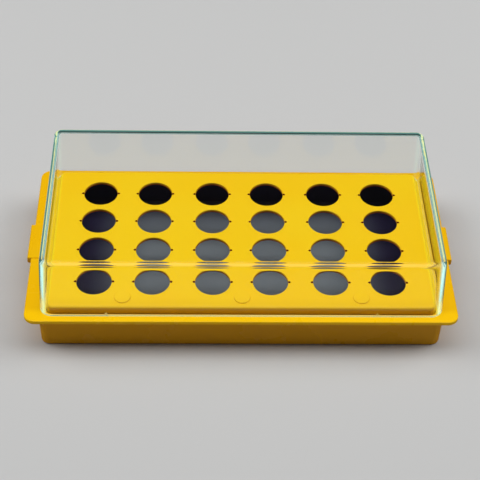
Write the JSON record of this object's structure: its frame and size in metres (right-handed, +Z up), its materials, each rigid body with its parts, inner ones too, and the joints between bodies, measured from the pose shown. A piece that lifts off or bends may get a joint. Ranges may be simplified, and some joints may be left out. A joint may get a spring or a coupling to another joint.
{
  "type": "micro tube rack box",
  "caption": "Shallow flanged yellow bench tray with grip tabs, a dark inner tray, a raised perforated deck for micro tubes, and a clear lift-off lid.",
  "frame": {"origin": "middle of the base tray's flat underside", "axes": "+X along the tray's long side, +Y to its back long side, +Z up out of the deck"},
  "size_m": [0.1358, 0.069, 0.0343],
  "materials": {
    "yellow_plastic": "moulded, semi-gloss",
    "grey_plastic": "matt, fine grained",
    "clear_plastic": "clear, polished"
  },
  "bodies": {
    "base": {"base_tray": "yellow_plastic", "liner_tray": "grey_plastic"},
    "deck": {"tube_deck": "yellow_plastic"},
    "lid": {"lid": "clear_plastic"}
  },
  "joints": [
    {"name": "deck_lift", "type": "slide", "parent": "base", "child": "deck", "axis": [0, 0, 1], "range_m": [0, 0.05]},
    {"name": "lid_lift", "type": "slide", "parent": "deck", "child": "lid", "axis": [0, 0, 1], "range_m": [0, 0.06]}
  ]
}
